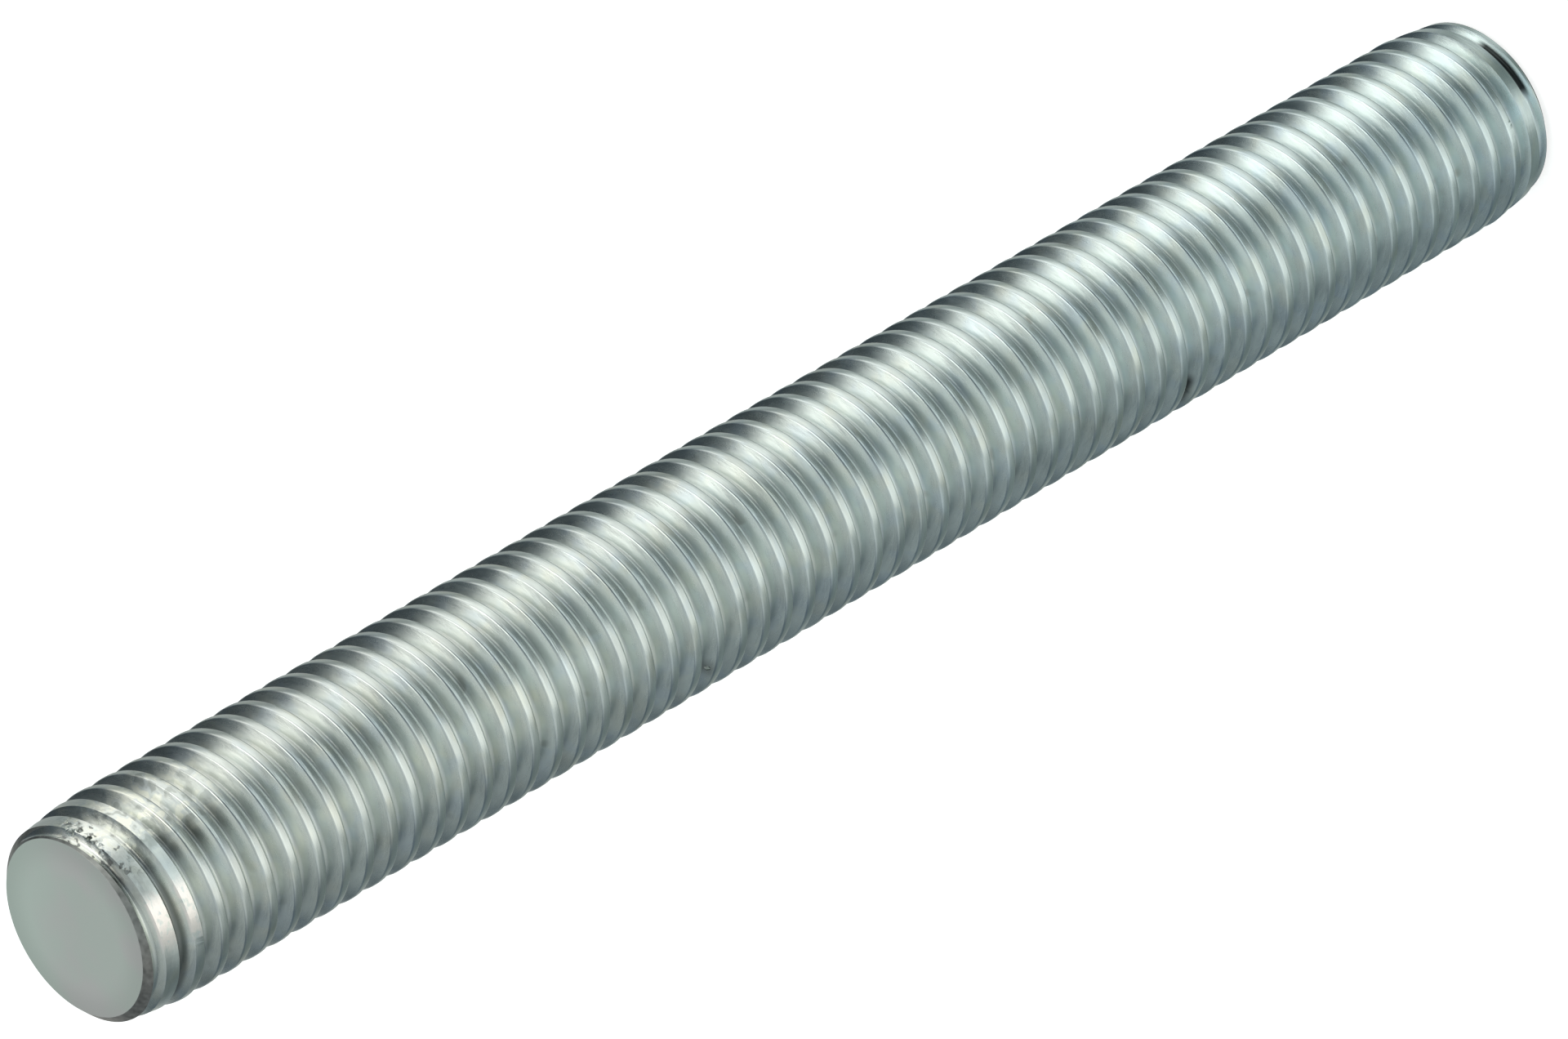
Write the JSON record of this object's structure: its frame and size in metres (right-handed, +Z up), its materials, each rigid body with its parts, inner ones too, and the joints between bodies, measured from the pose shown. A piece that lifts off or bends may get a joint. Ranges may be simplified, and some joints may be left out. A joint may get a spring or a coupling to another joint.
{
  "type": "threaded rod",
  "caption": "Fully threaded steel rod, zinc plated, with square-cut chamfered ends, for joining or hanging things with nuts.",
  "frame": {"origin": "centre of the bottom end face, which the rod stands on", "axes": "+Z up along the rod's axis; X and Y are alike"},
  "size_m": [0.012, 0.012, 0.11],
  "materials": {
    "zinc_plated_steel": "bright zinc plating, slightly blue-green, glossy on the thread and duller on the cut ends"
  },
  "bodies": {
    "root": {"threaded_rod": "zinc_plated_steel"}
  },
  "joints": []
}
